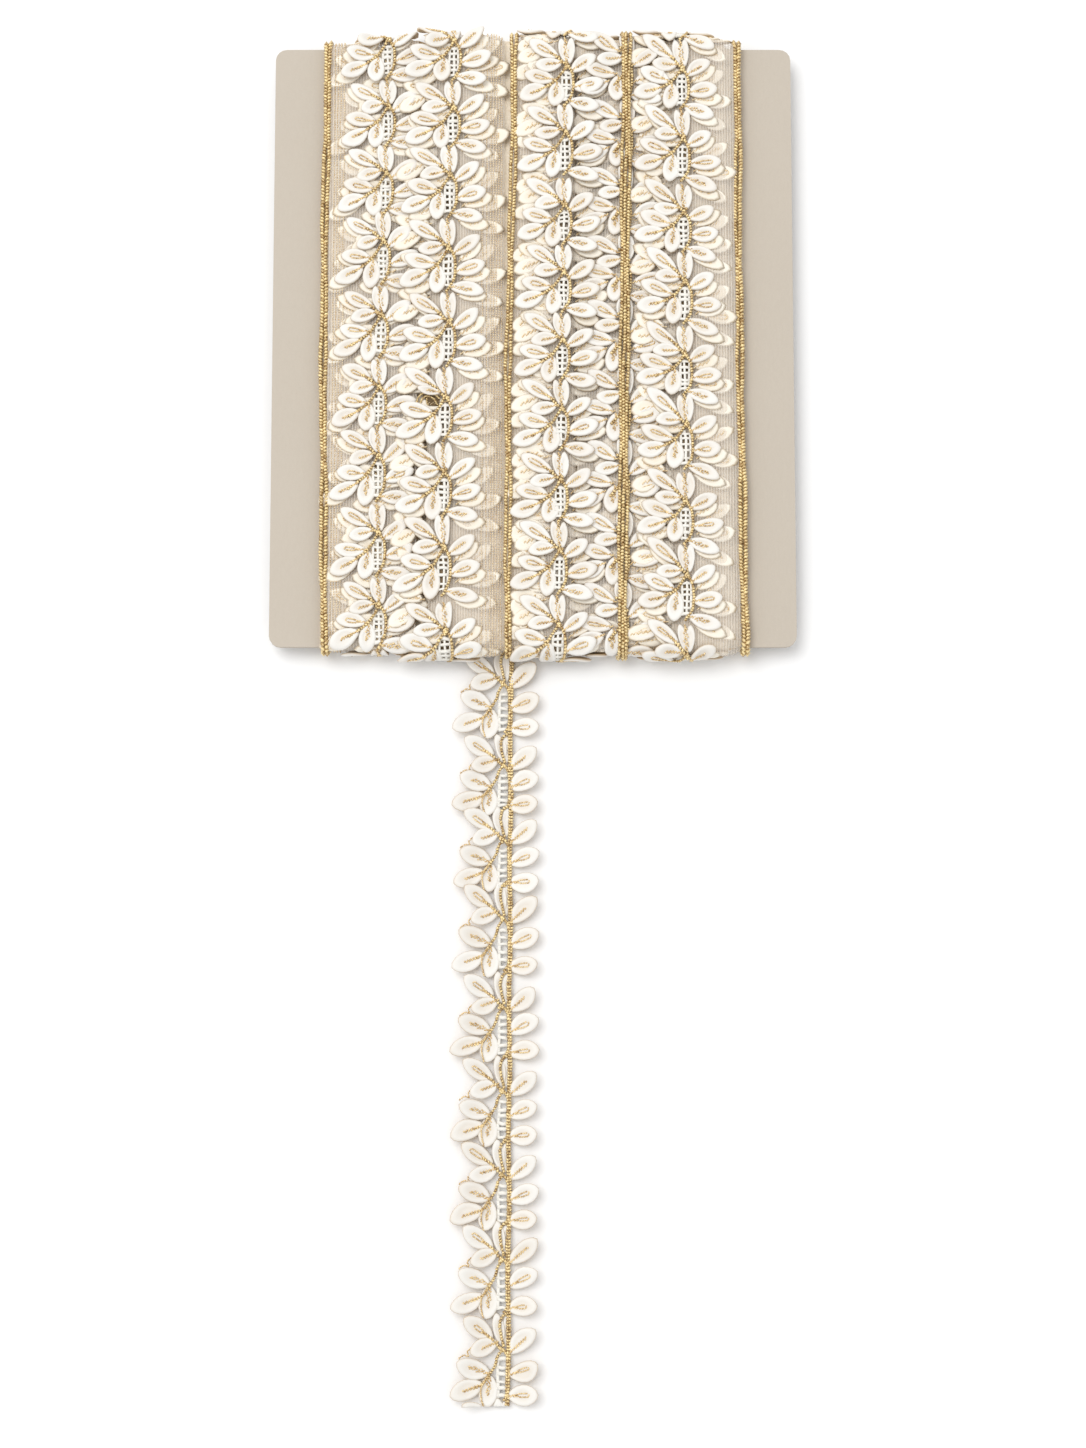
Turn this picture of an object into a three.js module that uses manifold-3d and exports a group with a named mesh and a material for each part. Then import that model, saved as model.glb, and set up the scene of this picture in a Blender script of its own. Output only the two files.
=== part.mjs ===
// Embroidered leaf lace trim wound on a flat card, with one loose end lying on the table.
// Millimetres, +Z up. The trim is wound along Y, and the loose end runs towards -Y.
// The origin is the middle of the whole thing at table level.
import * as THREE from 'three';
import { mergeVertices } from 'three/addons/utils/BufferGeometryUtils.js';
import Module from 'manifold-3d';

const wasm = await Module();
wasm.setup();

// Sizes of the card that the trim is wound on
const CARD_WIDTH = 210;
const CARD_TOP_Y = 267.4;
const CARD_BOTTOM_Y = 20.8;
const CARD_THICKNESS = 2.4;
const CARD_CORNER = 4.5;
const CARD_MIDDLE = 8.6;

// Air left between neighbouring pieces
const GAP = 0.3;

// The wound form: its surface height on the front, lap by lap from left to right
const OUTER_HEIGHT = 12;
const LOW_HEIGHT = 13.2;
const HIGH_HEIGHT = 15.1;
const NET_HEIGHT = 13.6;
const CORD_BED_HEIGHT = 14.2;
const LAP_STEPS = [
  { from: -84.6, to: -81, height: OUTER_HEIGHT },
  { from: -80.2, to: -42.9, height: LOW_HEIGHT },
  { from: -42.3, to: -18.5, height: HIGH_HEIGHT },
  { from: -17.7, to: -13.4, height: NET_HEIGHT },
  { from: -12.8, to: -5.5, height: CORD_BED_HEIGHT },
  { from: -4.9, to: 15.4, height: HIGH_HEIGHT },
  { from: 16, to: 54.4, height: LOW_HEIGHT },
  { from: 55.2, to: 77.6, height: HIGH_HEIGHT },
  { from: 78.4, to: 80.4, height: LOW_HEIGHT },
  { from: 81.2, to: 85, height: OUTER_HEIGHT },
];

// How the trim turns round the two ends of the card, least at the sides
const TOP_END = { side: 1, bend: CARD_TOP_Y - 0.2, middle: 4.4, sides: 1.3 };
const BOTTOM_END = { side: -1, bend: CARD_BOTTOM_Y + 2.7, middle: 1.9, sides: 1.3 };
const HALF_WIDTH = 85;
const QUARTER_STEPS = 5;
const END_EXTRA_LIFT = 0.45;
const WRAP_SHARE = 1.12;

// Leaf vines on the front: stem place at both ends, and where each group of leaves begins
const VINES = {
  leaf_vine_1: {
    stem: [-59, -61.8], height: LOW_HEIGHT, groups: [270.5, 243, 215, 186.5, 156, 126.5, 98, 67, 37.5],
  },
  leaf_vine_2: {
    stem: [-32.5, -35.8], height: HIGH_HEIGHT, groups: [269, 241, 213, 182.5, 152, 121, 90.5, 60, 27],
  },
  leaf_vine_3: {
    stem: [13.8, 11], height: HIGH_HEIGHT, groups: [258, 229.5, 199.5, 172, 143.5, 116, 86.5, 58, 28.5],
  },
  leaf_vine_4: {
    stem: [38.2, 35.7], height: LOW_HEIGHT, groups: [262.5, 234.5, 206.5, 178.5, 151.5, 123, 93.5, 64, 35.5],
  },
  leaf_vine_5: {
    stem: [60.1, 60.7], height: HIGH_HEIGHT, groups: [259, 229.5, 199, 170.5, 140.5, 112, 80.5, 51, 20.5],
  },
};
const USUAL_PITCH = 29;

// One group of leaves on the wound laps: base and tip from the fork of the stem, and full width
const WOUND_LEAVES = [
  { base: [3.8, -4], tip: [13.3, 2], width: 7.2 },
  { base: [3.8, -11.7], tip: [15.7, -8.9], width: 7.6 },
  { base: [3.8, -17.9], tip: [14.9, -21], width: 6 },
  { base: [-1, 4], tip: [-14.1, 9.3], width: 5.6 },
  { base: [-1, 1], tip: [-11.3, 0], width: 5.6 },
  { base: [-1, -7.6], tip: [-16.1, -4.8], width: 6 },
  { base: [-1, -10.9], tip: [-18.2, -15.7], width: 6.4 },
];
const WOUND_STRIP = { left: -2, right: 4.8, thickness: 0.9 };
const WOUND_LEAF = { rows: [[0, 0.4, 0.5], [0.34, 0.96, 1], [0.74, 0.86, 0.9]], edge: 0, dome: 1.5 };
const BENT_LEAF = {
  rows: [[0, 0.4, 0.5], [0.25, 0.9, 1], [0.52, 1, 1], [0.8, 0.75, 0.85]],
  edge: 0,
  dome: 1.4,
  split: true,
};
const LEAF_SEAT = 0.05;

// One group of leaves on the loose end
const LOOSE_LEAVES = [
  { base: [3.6, -0.4], tip: [14.6, 6.1], width: 7.3 },
  { base: [3.6, -8.6], tip: [15.2, -5.3], width: 8.1 },
  { base: [3.6, -16.7], tip: [14.8, -17.9], width: 7.7 },
  { base: [-1, 3.4], tip: [-14.5, 11.4], width: 7 },
  { base: [-1, 1.2], tip: [-12.1, -0.8], width: 6.5 },
  { base: [-1, -7.6], tip: [-16.1, -2.4], width: 7.7 },
  { base: [-1, -10.8], tip: [-18.5, -17.1], width: 7.7 },
  { base: [-1.6, -11.5], tip: [-4.6, -20], width: 6 },
];
const LOOSE_STEM_X = -12.3;
const LOOSE_GROUPS = [6.7, -25.9, -55.5, -86.9, -121.6, -154.4, -187, -219.4, -253.8];
const LOOSE_PITCH = 32.6;
const LOOSE_START_Y = 20.9;
const LOOSE_CUT_Y = -275.5;
const LOOSE_STRIP = { left: -2.2, right: 4.6, thickness: 1.1 };
const LOOSE_LEAF = { rows: [[0, 0.4, 0.15], [0.34, 0.96, 1], [0.74, 0.88, 0.9]], edge: 0.8, dome: 1 };

// Gold cords: places across the block from the top end to the bottom end, and how high they lie
const CORD_HEIGHT = 1.6;
const CORDS = {
  gold_cord_1: { across: [-83, -84.2, -84.4, -83.2, -82.6], bed: OUTER_HEIGHT, width: 3.2 },
  gold_cord_2: { across: [-7.8, -8.4, -9.9, -9.9, -9.9], bed: CORD_BED_HEIGHT, width: 4 },
  gold_cord_3: { across: [38.2, 37.4, 36.8, 36.1, 35.6], bed: LOW_HEIGHT + 1.35, width: 4.8 },
  gold_cord_4: { across: [83.1, 82.9, 83, 83.4, 84.4], bed: OUTER_HEIGHT, width: 3.2 },
};
const LOOSE_CORD = { x: -9.1, start: 15, width: 1.9, bottom: 1.3, top: 3 };

const COLOURS = {
  card: { color: 0xcfc4b4, roughness: 0.9, metalness: 0 },
  ground: { color: 0xd3c8b9, roughness: 0.95, metalness: 0 },
  leaf: { color: 0xf4f0e7, roughness: 0.85, metalness: 0 },
  gold: { color: 0xbe9650, roughness: 0.4, metalness: 0.6 },
};

// Signed volume of a triangle skin, negative when it faces inwards
function signedVolume(vertices, triangles) {
  let volume = 0;
  for (const [a, b, c] of triangles) {
    const [p, q, r] = [vertices[a], vertices[b], vertices[c]];
    volume += p[0] * (q[1] * r[2] - q[2] * r[1]);
    volume += p[1] * (q[2] * r[0] - q[0] * r[2]);
    volume += p[2] * (q[0] * r[1] - q[1] * r[0]);
  }
  return volume / 6;
}

// A closed body from corner places and triangles, turned to face outwards
function solid(vertices, triangles) {
  const inwards = signedVolume(vertices, triangles) < 0;
  const facing = inwards ? triangles.map(([a, b, c]) => [a, c, b]) : triangles;
  return new wasm.Manifold(new wasm.Mesh({
    numProp: 3,
    vertProperties: new Float32Array(vertices.flat()),
    triVerts: new Uint32Array(facing.flat()),
  }));
}

// A solid through a row of like sections, closed flat or drawn to a point after the last
function loft(sections, point) {
  const count = sections[0].length;
  const vertices = sections.flat();
  const triangles = [];
  for (let s = 0; s + 1 < sections.length; s += 1) {
    for (let i = 0; i < count; i += 1) {
      const a = s * count + i;
      const b = s * count + (i + 1) % count;
      triangles.push([a, b, b + count], [a, b + count, a + count]);
    }
  }
  const last = (sections.length - 1) * count;
  for (let i = 1; i + 1 < count; i += 1) {
    triangles.push([0, i + 1, i]);
    if (!point) {
      triangles.push([last, last + i, last + i + 1]);
    }
  }
  if (point) {
    vertices.push(point);
    for (let i = 0; i < count; i += 1) {
      triangles.push([last + i, last + (i + 1) % count, last + count]);
    }
  }
  return solid(vertices, triangles);
}

function joined(solids) {
  return solids.reduce((sum, piece) => sum.add(piece));
}

// A named mesh from a closed body, each corner moved by the given function
function meshFrom(name, body, look, move = (place) => place) {
  const { vertProperties, triVerts, numProp } = body.getMesh();
  const places = [];
  for (let i = 0; i < vertProperties.length; i += numProp) {
    places.push(...move([vertProperties[i], vertProperties[i + 1], vertProperties[i + 2]]));
  }
  const geometry = new THREE.BufferGeometry();
  geometry.setAttribute('position', new THREE.Float32BufferAttribute(places, 3));
  geometry.setIndex(Array.from(triVerts));
  const mesh = new THREE.Mesh(mergeVertices(geometry, 1e-4), new THREE.MeshStandardMaterial(COLOURS[look]));
  mesh.name = name;
  return mesh;
}

function mix(a, b, share) {
  return a + (b - a) * share;
}

// A value from an evenly spread row of values, along the block from its top end to its bottom end
function alongBlock(values, y) {
  const share = (TOP_END.bend - y) / (TOP_END.bend - BOTTOM_END.bend);
  const place = THREE.MathUtils.clamp(share, 0, 1) * (values.length - 1);
  const index = Math.min(Math.floor(place), values.length - 2);
  return mix(values[index], values[index + 1], place - index);
}

// How far the wound form stands past the card's end at a place across the block
function endReach(end, x, height) {
  const fullness = 1 - Math.min(1, Math.abs(x / HALF_WIDTH)) ** 4;
  const past = mix(end.sides, end.middle, fullness) + Math.max(0, height - LOW_HEIGHT);
  const edge = end.side > 0 ? CARD_TOP_Y : CARD_BOTTOM_Y;
  return past + (edge - end.bend) * end.side;
}

// A place on the wound form: x across, run along the front and on round the ends, lift off it
function wrap(x, run, lift, height) {
  for (const end of [TOP_END, BOTTOM_END]) {
    const past = (run - end.bend) * end.side;
    if (past > 0) {
      const extra = lift + END_EXTRA_LIFT * Math.min(1, past / 1.5);
      const reach = endReach(end, x, height) + extra;
      const rise = height - CARD_MIDDLE + extra;
      const turn = past / ((reach + rise) / 2);
      const depth = turn < Math.PI / 2 ? rise : CARD_MIDDLE + extra;
      const y = end.bend + end.side * reach * Math.sin(turn);
      return [x, y, CARD_MIDDLE + depth * Math.cos(turn)];
    }
  }
  return [x, run, height + lift];
}

// The closed outline of the wound form at one place across the block
function woundSection(x, height) {
  const section = [];
  for (const end of [TOP_END, BOTTOM_END]) {
    const reach = endReach(end, x, height);
    const quarter = [];
    for (let i = 0; i <= 2 * QUARTER_STEPS; i += 1) {
      const turn = (i / QUARTER_STEPS) * (Math.PI / 2);
      const rise = i <= QUARTER_STEPS ? height - CARD_MIDDLE : CARD_MIDDLE;
      quarter.push([x, end.bend + end.side * reach * Math.sin(turn), CARD_MIDDLE + rise * Math.cos(turn)]);
    }
    section.push(...(end.side > 0 ? quarter : quarter.reverse()));
  }
  return section;
}

// All the turns of the trim as one ring round the card, its laps as steps on the front
function buildWoundForm() {
  const sections = LAP_STEPS.flatMap(({ from, to, height }) => [
    woundSection(from, height),
    woundSection(to, height),
  ]);
  const slotLow = CARD_BOTTOM_Y - GAP;
  const slotHigh = CARD_TOP_Y + GAP;
  const slotHalf = CARD_THICKNESS / 2 + GAP;
  const slotSection = (x) => [
    [x, slotLow, CARD_MIDDLE - slotHalf],
    [x, slotHigh, CARD_MIDDLE - slotHalf],
    [x, slotHigh, CARD_MIDDLE + slotHalf],
    [x, slotLow, CARD_MIDDLE + slotHalf],
  ];
  const slot = loft([slotSection(-CARD_WIDTH), slotSection(CARD_WIDTH)]);
  return meshFrom('wound_lace', loft(sections).subtract(slot), 'ground');
}

function buildCard() {
  const half = CARD_WIDTH / 2 - CARD_CORNER;
  const corners = [
    { x: half, y: CARD_TOP_Y - CARD_CORNER, start: 0 },
    { x: -half, y: CARD_TOP_Y - CARD_CORNER, start: 1 },
    { x: -half, y: CARD_BOTTOM_Y + CARD_CORNER, start: 2 },
    { x: half, y: CARD_BOTTOM_Y + CARD_CORNER, start: 3 },
  ];
  const steps = 4;
  const outline = corners.flatMap(({ x, y, start }) => {
    const arc = [];
    for (let i = 0; i <= steps; i += 1) {
      const turn = (start + i / steps) * (Math.PI / 2);
      arc.push([x + CARD_CORNER * Math.cos(turn), y + CARD_CORNER * Math.sin(turn)]);
    }
    return arc;
  });
  const level = (z) => outline.map(([x, y]) => [x, y, z]);
  const low = CARD_MIDDLE - CARD_THICKNESS / 2;
  return meshFrom('winding_card', loft([level(low), level(low + CARD_THICKNESS)]), 'card');
}

// Across and up directions of a leaf, and a place on it from a share of its length
function leafFrame({ base, tip, width }) {
  const length = Math.hypot(tip[0] - base[0], tip[1] - base[1]);
  const side = [-(tip[1] - base[1]) / length, (tip[0] - base[0]) / length];
  return (share, across, lift) => [
    mix(base[0], tip[0], share) + side[0] * across * width / 2,
    mix(base[1], tip[1], share) + side[1] * across * width / 2,
    lift,
  ];
}

// A leaf with a ridge along its back, drawn from its base to a pointed tip
function leafSolid(leaf, { rows, edge, dome, split }) {
  const at = leafFrame(leaf);
  const sections = rows.map(([share, across, fullness]) => {
    const rim = (side) => (edge > 0 ? [at(share, side * across, LEAF_SEAT + edge)] : []);
    const low = [at(share, -across, LEAF_SEAT), ...(split ? [at(share, 0, LEAF_SEAT)] : [])];
    const ridge = at(share, 0, LEAF_SEAT + edge + dome * fullness);
    return [at(share, across, LEAF_SEAT), ...rim(1), ridge, ...rim(-1), ...low];
  });
  return loft(sections, at(1, 0, LEAF_SEAT + edge / 2));
}

// Leaves of one group, moved to its fork and stretched to the length of its group
function placedLeaves(leaves, x, y, stretch) {
  return leaves.map(({ base, tip, width }) => ({
    base: [x + base[0], y + base[1] * stretch],
    tip: [x + tip[0], y + tip[1] * stretch],
    width,
  }));
}

// A flat strip through the given runs, its middle leaning with the stem
function stripSolid(runs, middle, { left, right, thickness }) {
  return loft(runs.map((run) => {
    const x = middle(run);
    return [[x + left, run, 0], [x + right, run, 0], [x + right, run, thickness], [x + left, run, thickness]];
  }));
}

// How far along its run a piece goes on round an end, a little past the outermost place
function wrapLength(end, x, height) {
  const meanRadius = (endReach(end, x, height) + height - CARD_MIDDLE) / 2;
  return WRAP_SHARE * meanRadius * Math.PI / 2;
}

// Places along the block from the bottom end to the top end, close together where it bends
function wrappedRuns(x, height) {
  const bottomLength = wrapLength(BOTTOM_END, x, height);
  const topLength = wrapLength(TOP_END, x, height);
  const bendSteps = Math.ceil(topLength / 2);
  const runs = [];
  for (let i = bendSteps; i > 0; i -= 1) {
    runs.push(BOTTOM_END.bend - bottomLength * i / bendSteps);
  }
  for (let i = 0; i <= 4; i += 1) {
    runs.push(mix(BOTTOM_END.bend, TOP_END.bend, i / 4));
  }
  for (let i = 1; i <= bendSteps; i += 1) {
    runs.push(TOP_END.bend + topLength * i / bendSteps);
  }
  return runs;
}

function buildVine(name, { stem, height, groups }) {
  const middle = (run) => alongBlock(stem, run);
  const runs = wrappedRuns(stem[0], height);
  const [low, high] = [runs[0], runs[runs.length - 1]];
  const pieces = [stripSolid(runs, middle, WOUND_STRIP)];
  const forks = [groups[0] + USUAL_PITCH, ...groups, groups[groups.length - 1] - USUAL_PITCH];
  forks.forEach((fork, index) => {
    const next = forks[index + 1] ?? fork - USUAL_PITCH;
    const stretch = (fork - next) / USUAL_PITCH;
    for (const leaf of placedLeaves(WOUND_LEAVES, middle(fork), fork, stretch)) {
      const ends = [leaf.base[1], leaf.tip[1]];
      const highest = Math.max(...ends) + leaf.width / 2;
      const lowest = Math.min(...ends) - leaf.width / 2;
      if (highest < high && lowest > low) {
        const bent = highest > TOP_END.bend || lowest < BOTTOM_END.bend;
        pieces.push(leafSolid(leaf, bent ? BENT_LEAF : WOUND_LEAF));
      }
    }
  });
  return meshFrom(name, joined(pieces), 'leaf', ([x, run, lift]) => wrap(x, run, lift + GAP, height));
}

// A pair of round strands side by side, as one low ridged section
function cordSection(x, run, width, height) {
  const profile = [
    [-0.5, 0.25], [-0.3, 0], [0.3, 0], [0.5, 0.25],
    [0.5, 0.7], [0.25, 1], [0, 0.72], [-0.25, 1], [-0.5, 0.7],
  ];
  return profile.map(([across, up]) => [x + across * width, run, up * height]);
}

function buildCord(name, { across, bed, width }) {
  const sections = wrappedRuns(across[0], bed).map((run) => (
    cordSection(alongBlock(across, run), run, width, CORD_HEIGHT)
  ));
  return meshFrom(name, loft(sections), 'gold', ([x, run, lift]) => wrap(x, run, lift + GAP, bed));
}

function buildLooseEnd() {
  const length = LOOSE_START_Y - LOOSE_CUT_Y;
  const middle = () => LOOSE_STEM_X;
  const pieces = [stripSolid([LOOSE_START_Y, LOOSE_CUT_Y], middle, LOOSE_STRIP)];
  const cutFork = LOOSE_GROUPS[LOOSE_GROUPS.length - 1] - LOOSE_PITCH;
  LOOSE_GROUPS.forEach((fork, index) => {
    const stretch = (fork - (LOOSE_GROUPS[index + 1] ?? cutFork)) / LOOSE_PITCH;
    for (const leaf of placedLeaves(LOOSE_LEAVES, LOOSE_STEM_X, fork, stretch)) {
      pieces.push(leafSolid(leaf, LOOSE_LEAF));
    }
  });
  const kept = loft([LOOSE_START_Y, LOOSE_CUT_Y].map((y) => [
    [-length, y, -1], [length, y, -1], [length, y, 4], [-length, y, 4],
  ]));
  return meshFrom('loose_end', joined(pieces).intersect(kept), 'leaf');
}

// The straight gold stem cord that is sewn along the loose end
function buildLooseCord() {
  const { x, start, width, bottom, top } = LOOSE_CORD;
  const sections = [start, LOOSE_CUT_Y].map((y) => {
    const section = [];
    for (let i = 0; i < 6; i += 1) {
      const turn = (i / 6) * 2 * Math.PI;
      section.push([
        x + Math.cos(turn) * width / 2,
        y,
        mix(bottom, top, 0.5) + Math.sin(turn) * (top - bottom) / 2,
      ]);
    }
    return section;
  });
  return meshFrom('loose_end_cord', loft(sections), 'gold');
}

const group = new THREE.Group();
group.name = 'embroidered_lace_trim';
group.add(buildCard());
group.add(buildWoundForm());
for (const [name, vine] of Object.entries(VINES)) {
  group.add(buildVine(name, vine));
}
for (const [name, cord] of Object.entries(CORDS)) {
  group.add(buildCord(name, cord));
}
group.add(buildLooseEnd());
group.add(buildLooseCord());

export default group;
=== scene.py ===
"""Embroidered leaf lace trim wound on a card, with one loose end lying on the table.

Sizes are in millimetres until a mesh is made. A place on the wound trim is (x, run, lift): x across
the block, run along the winding, which is Y on the front and goes on round the ends to the back,
and lift out from the surface of the lap.
"""

import math

import bmesh
import bpy
import numpy as np
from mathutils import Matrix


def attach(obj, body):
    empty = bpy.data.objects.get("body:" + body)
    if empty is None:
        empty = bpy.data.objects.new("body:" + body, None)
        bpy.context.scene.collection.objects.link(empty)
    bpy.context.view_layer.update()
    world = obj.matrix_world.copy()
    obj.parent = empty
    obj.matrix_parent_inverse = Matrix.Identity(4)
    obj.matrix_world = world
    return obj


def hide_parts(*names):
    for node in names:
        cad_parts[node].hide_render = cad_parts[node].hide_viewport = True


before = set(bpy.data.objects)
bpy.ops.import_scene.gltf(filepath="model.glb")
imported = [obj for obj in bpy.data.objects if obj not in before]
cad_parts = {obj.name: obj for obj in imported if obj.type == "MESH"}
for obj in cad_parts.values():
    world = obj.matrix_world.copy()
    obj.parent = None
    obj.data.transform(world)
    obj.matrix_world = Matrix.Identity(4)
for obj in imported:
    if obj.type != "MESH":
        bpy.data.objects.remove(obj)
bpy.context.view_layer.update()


def table(columns, *rows):
    """Rows of values as dictionaries that share the names of their columns."""
    return [dict(zip(columns.split(), row)) for row in rows]


def numbered(columns, *rows):
    """Such rows by number, from "1" at the left of the block."""
    return {str(i): row for i, row in enumerate(table(columns, *rows), 1)}


# Camera, 1.1 m away and tilted a little towards the loose end
CAMERA_AIM = (4.05, -8.85)
CAMERA_DISTANCE = 1100
CAMERA_TILT = math.radians(7)
CAMERA_LENS = 68.4
SENSOR_WIDTH = 36

# Studio, in metres: an even sky and one large soft light from the upper left
FLOOR_SIZE = 8
SKY_STRENGTH = 0.84
KEY_PLACE = (-1.0, 0.85, 2.7)
KEY_SIZE = 1.9
KEY_POWER = 45

# The wound form, as the solids have it
CARD_TOP = 267.4
CARD_BOTTOM = 20.8
CARD_MIDDLE = 8.6
CARD_SLOT_HALF = 1.5
HALF_WIDTH = 85
OUTER_HEIGHT = 12
LOW_HEIGHT = 13.2
HIGH_HEIGHT = 15.1
NET_HEIGHT = 13.6
CORD_BED_HEIGHT = 14.2
BACK_HEIGHT = 1.9
BACK_PRESS = 0.42
CARD_CLEARANCE = 0.3
CORE_END_INSET = 1.4
CORE_FRONT_INSET = 2.8
CORE_BACK_HEIGHT = 2.6
CORE_ARC_STEPS = 18
TOP_END = {"side": 1, "bend": CARD_TOP - 0.2, "edge": CARD_TOP, "middle": 4.4, "sides": 1.3}
BOTTOM_END = {"side": -1, "bend": CARD_BOTTOM + 2.7, "edge": CARD_BOTTOM, "middle": 1.9, "sides": 1.3}
LAP_STEPS = table(
    "from to height",
    (-84.6, -81, OUTER_HEIGHT),
    (-80.2, -42.9, LOW_HEIGHT),
    (-42.3, -18.5, HIGH_HEIGHT),
    (-17.7, -13.4, NET_HEIGHT),
    (-12.8, -5.5, CORD_BED_HEIGHT),
    (-4.9, 15.4, HIGH_HEIGHT),
    (16, 54.4, LOW_HEIGHT),
    (55.2, 77.6, HIGH_HEIGHT),
    (78.4, 80.4, LOW_HEIGHT),
    (81.2, 84.6, OUTER_HEIGHT))

# Laps: height, room across for the stems, reach of the leaves on the left and right, slant of the
# leaves, and where the stem forks on the front, from the top of the block to its bottom
VINES = numbered(
    "height slack reach shear forks",
    (LOW_HEIGHT, 1, (0.96, 1.0), 0.1, [
        (-58.7, 269.3), (-58.5, 241.9), (-59.1, 213.9), (-60.1, 185.6), (-60.7, 155.0),
        (-61.3, 125.4), (-61.5, 97.2), (-61.3, 65.9), (-60.7, 36.5)]),
    (HIGH_HEIGHT, 1, (1.03, 1.03), 0.02, [
        (-31.8, 268.4), (-32.1, 240.6), (-33.2, 212.6), (-33.7, 182.2), (-33.6, 151.6),
        (-34.8, 120.8), (-35.1, 90.2), (-35.2, 59.8), (-34.4, 26.4)]),
    (HIGH_HEIGHT, 1, (1.0, 1.0), 0.0, [
        (13.9, 258.3), (13.4, 230.1), (13.0, 200.0), (12.6, 172.2), (12.1, 144.1),
        (11.7, 116.2), (11.3, 86.9), (10.9, 58.6), (10.4, 28.8)]),
    (LOW_HEIGHT, 0.5, (1.0, 1.0), 0.0, [
        (38.9, 261.3), (38.8, 233.5), (38.2, 205.5), (38.1, 177.2), (37.6, 150.3),
        (37.5, 121.6), (37.0, 92.2), (36.9, 63.0), (36.4, 34.4)]),
    (HIGH_HEIGHT, 1, (1.0, 1.0), -0.17, [
        (60.6, 257.0), (60.8, 227.6), (61.0, 197.1), (61.3, 168.4), (61.1, 138.3),
        (61.3, 109.7), (61.1, 78.3), (61.3, 48.8), (61.1, 18.3)]))

# Way from one group of leaves to the next; groups further past the block's bends are made plainer
USUAL_PITCH = 29
FINE_PAST = {"bottom": 20, "top": 30}

# Leaf tips stand up where a lap starts to bend over the block's upper end
EDGE_RISE = 2
EDGE_BAND = (-6, 9)

# Padding, stray of the leaf tips, lift of stems, ladders and veins, and spacing of stitches
LEAF_THICKNESS = 1.25
PETAL_THICKNESS = 1.1
LEAF_STRAY = 0.35
PETAL_STRAY = 0.2
STEM_LIFT = 1.6
LADDER_LIFT = 0.95
VEIN_LIFT = 0.16
FINE_SPACING = 0.95
PLAIN_SPACING = 1.6

# One group of leaves on a lap, from the fork of the stem: three on its right, then five on its left
WOUND_LEAVES = table(
    "base tip width lift rise vein",
    ((1.8, -2.3), (11.2, 4.6), 5.9, 0.6, 0.3, "rope"),
    ((2.7, -9.4), (14.0, -6.2), 6.6, 0.6, 0.3, "loop"),
    ((0.9, -15.4), (12.7, -17.4), 6.1, 0.5, 0.3, "full"),
    ((-4.0, 3.8), (-15.3, 10.6), 5.9, 0.7, 0.2, "loop"),
    ((-2.4, 1.0), (-12.2, -0.4), 5.7, 0.9, 0.6, "rope"),
    ((-5.5, -6.2), (-17.3, -3.5), 6.3, 0.7, 0.3, "loop"),
    ((-8.6, -9.6), (-19.4, -13.8), 6.8, 0.9, 0.3, "rope"),
    ((-4.2, -7.0), (-5.6, -17.6), 6.9, 0.4, 0.4, "full"))
# One leaf, known by its lap, group and place in the group, stands folded above a torn gap, darkened by a
# sheet of painted shade
FOLDED_PLACE = ("2", 5, 4)
FOLDED_LEAF = {
    "base": (-2.4, 1.6), "tip": (-10.6, 3.4), "width": 3.4, "lift": 1.6, "rise": 0.8, "vein": "rope"}
FOLDED_GAP_SHADE = [(-9.6, 1.4), (-2.4, 0.6), (-2.6, -3.4), (-6.8, -3.2)]
FOLDED_THREADS = [
    [(-2.6, -0.4), (-5.2, 1.4), (-9.0, 1.6), (-11.2, -0.4), (-11.6, -2.8)],
    [(-3.6, -2.6), (-5.0, -0.4), (-8.0, 0.4), (-9.8, -1.2), (-10.2, -3.0)],
    [(-6.6, 1.0), (-7.6, -0.8), (-7.4, -2.6)],
]
FOLDED_SHADE_LIFT = 0.6
FOLDED_THREAD_LIFT = 0.95
RIGHT_LEAVES = WOUND_LEAVES[:3]
LEFT_LEAVES = WOUND_LEAVES[3:7]
SIDE_LEAVES = WOUND_LEAVES[:7]
WOUND_PETALS = table(
    "base tip width lift rise",
    ((-0.8, 1.6), (-2.8, 11.4), 3.8, 0.5, 0.2),
    ((0.9, 1.2), (1.3, 11.4), 3.7, 0.5, 0.2))
PETAL_VEIN = {"base": (-0.9, 11.4), "tip": (0.2, -4.5), "width": 4, "lift": 0.8, "rise": 0, "vein": "full"}
WOUND_STEM = [(0, 0.6), (1.1, -1.4), (2.1, -3.4), (2.5, -6.6), (2.4, -10.0), (1.5, -13.4), (-0.9, -16.9)]
WOUND_BRANCH = [(-0.2, 0.2), (-1.3, -1.8), (-2.7, -4.0), (-5.0, -6.9), (-8.6, -9.2), (-12.0, -11.1)]
WOUND_SIDE_STEM = [(-6.4, 5.2), (-4.0, 3.4), (-1.6, 1.2), (0.4, -0.8)]
WOUND_LADDER = {
    "rails": (-2.2, -0.3, 1.6), "right": 1.9, "first": -3.1, "pitch": 2.3, "count": 5, "bar": 0.62}
# The stem of this lap runs straight, with no ladder beside it
WITHOUT_LADDER = "4"

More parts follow.
